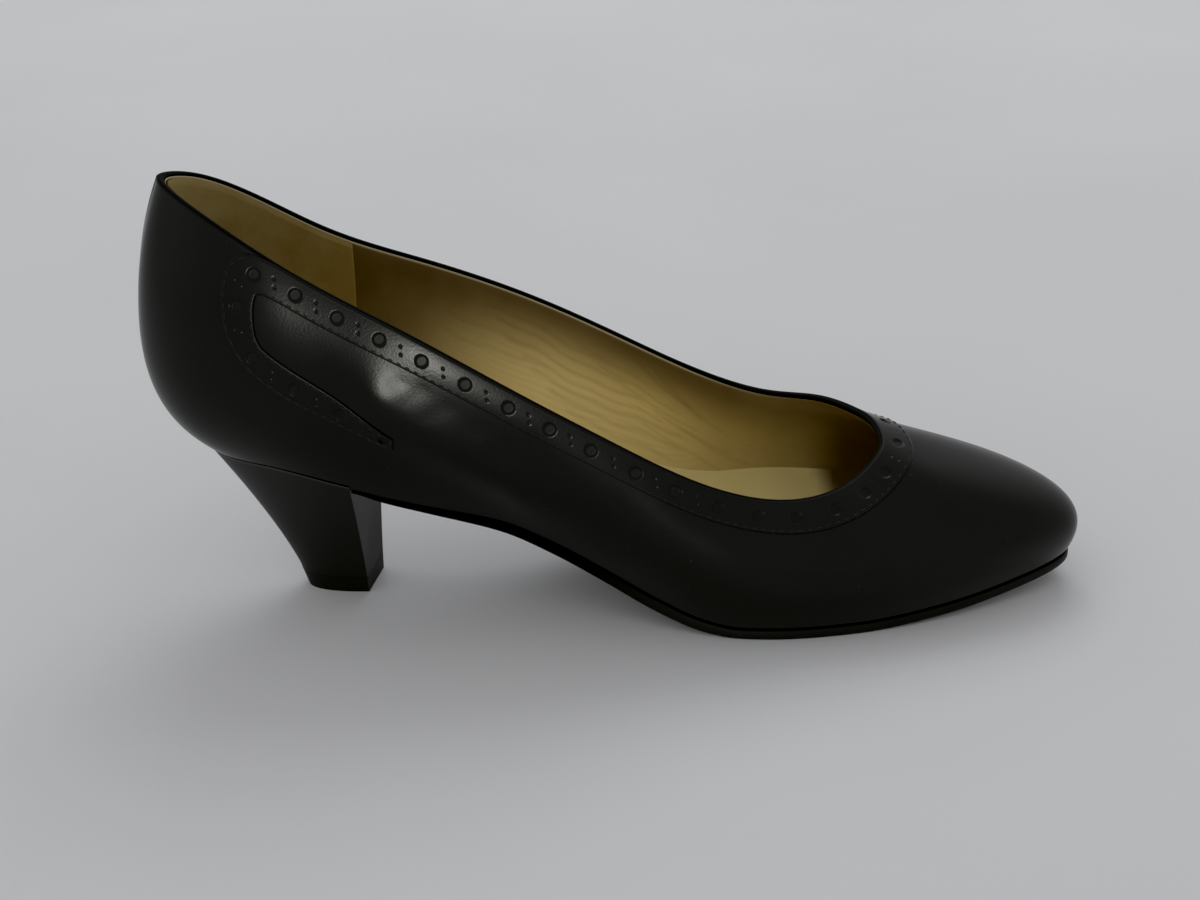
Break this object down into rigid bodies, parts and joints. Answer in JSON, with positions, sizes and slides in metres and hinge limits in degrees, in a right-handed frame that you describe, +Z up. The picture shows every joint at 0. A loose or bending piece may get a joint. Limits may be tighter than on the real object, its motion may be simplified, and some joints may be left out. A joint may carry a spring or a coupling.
{
  "type": "pump shoe",
  "caption": "Low-cut court shoe with an open collar, a punched band along the topline, a thin sole and a tapered mid heel, standing empty.",
  "frame": {"origin": "on the floor, in the middle of the shoe's bounding box", "axes": "+X towards the toe, +Y towards the inner side of the right foot, +Z up"},
  "size_m": [0.2439, 0.0794, 0.1176],
  "materials": {
    "upper_leather": "smooth, satin",
    "band_leather": "smooth, punched",
    "insole_sock": "matt",
    "sole": "matt",
    "heel_cover": "satin",
    "top_piece": "matt"
  },
  "bodies": {
    "root": {"upper": "upper_leather", "brogue_band": "band_leather", "insole": "insole_sock", "outsole": "sole", "heel": "heel_cover", "heel_top_piece": "top_piece"}
  },
  "joints": []
}
